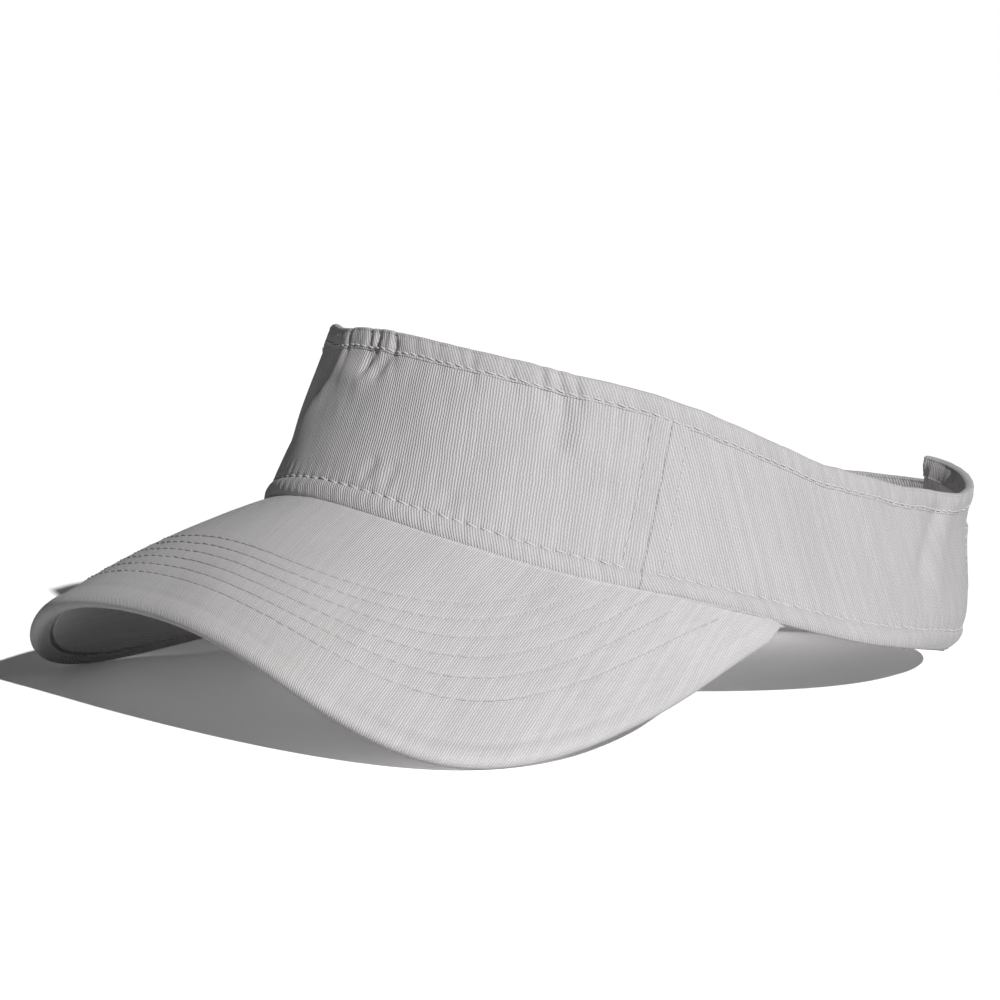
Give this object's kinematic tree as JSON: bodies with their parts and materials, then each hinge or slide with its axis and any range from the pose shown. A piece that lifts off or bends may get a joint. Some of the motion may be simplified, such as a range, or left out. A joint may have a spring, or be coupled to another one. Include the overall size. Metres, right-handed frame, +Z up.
{
  "type": "sun visor",
  "caption": "Adjustable cotton twill sun visor with a bound low band, a curved stitched brim and a peel-open hook-and-loop closure at the back.",
  "frame": {"origin": "centre of the bounding box on the floor it lies on", "axes": "+Z up from the floor, the brim points to -Y and the wearer's left is +X"},
  "size_m": [0.1876, 0.2822, 0.0995],
  "materials": {
    "twill": "light grey cotton twill",
    "trim": "light grey twill bias binding",
    "thread": "tonal sewing thread",
    "board": "polyethylene brim board",
    "lining": "pale cotton lining",
    "hook_and_loop": "grey hook-and-loop tape"
  },
  "bodies": {
    "visor": {"brim_board": "board", "brim_top_cover": "twill", "brim_under_cover": "twill", "brim_stitch_row_1": "thread", "brim_stitch_row_2": "thread", "brim_stitch_row_3": "thread", "brim_stitch_row_4": "thread", "brim_stitch_row_5": "thread", "brim_stitch_row_6": "thread", "front_panel": "twill", "left_side_panel": "twill", "right_side_panel": "twill", "top_binding": "trim", "front_interlining": "lining", "left_seam_tape": "lining", "right_seam_tape": "lining", "left_seam_stitch_front": "thread", "left_seam_stitch_rear": "thread", "right_seam_stitch_front": "thread", "right_seam_stitch_rear": "thread", "sweatband": "lining", "sweatband_stitch_row": "thread", "binding_stitch_row": "thread", "front_hem_stitch": "thread", "left_hem_stitch": "thread", "right_hem_stitch": "thread", "hook_tape": "hook_and_loop"},
    "tab": {"closure_tab": "twill", "tab_binding": "trim", "tab_binding_stitch": "thread", "tab_hem_stitch": "thread", "loop_tape": "hook_and_loop"}
  },
  "joints": [
    {"name": "closure_peel", "type": "hinge", "parent": "visor", "child": "tab", "pos_m": [-0.02831, 0.12921, 0.00192], "axis": [0.0239, 0.0793, 0.9966], "range_deg": [0, 110]}
  ]
}
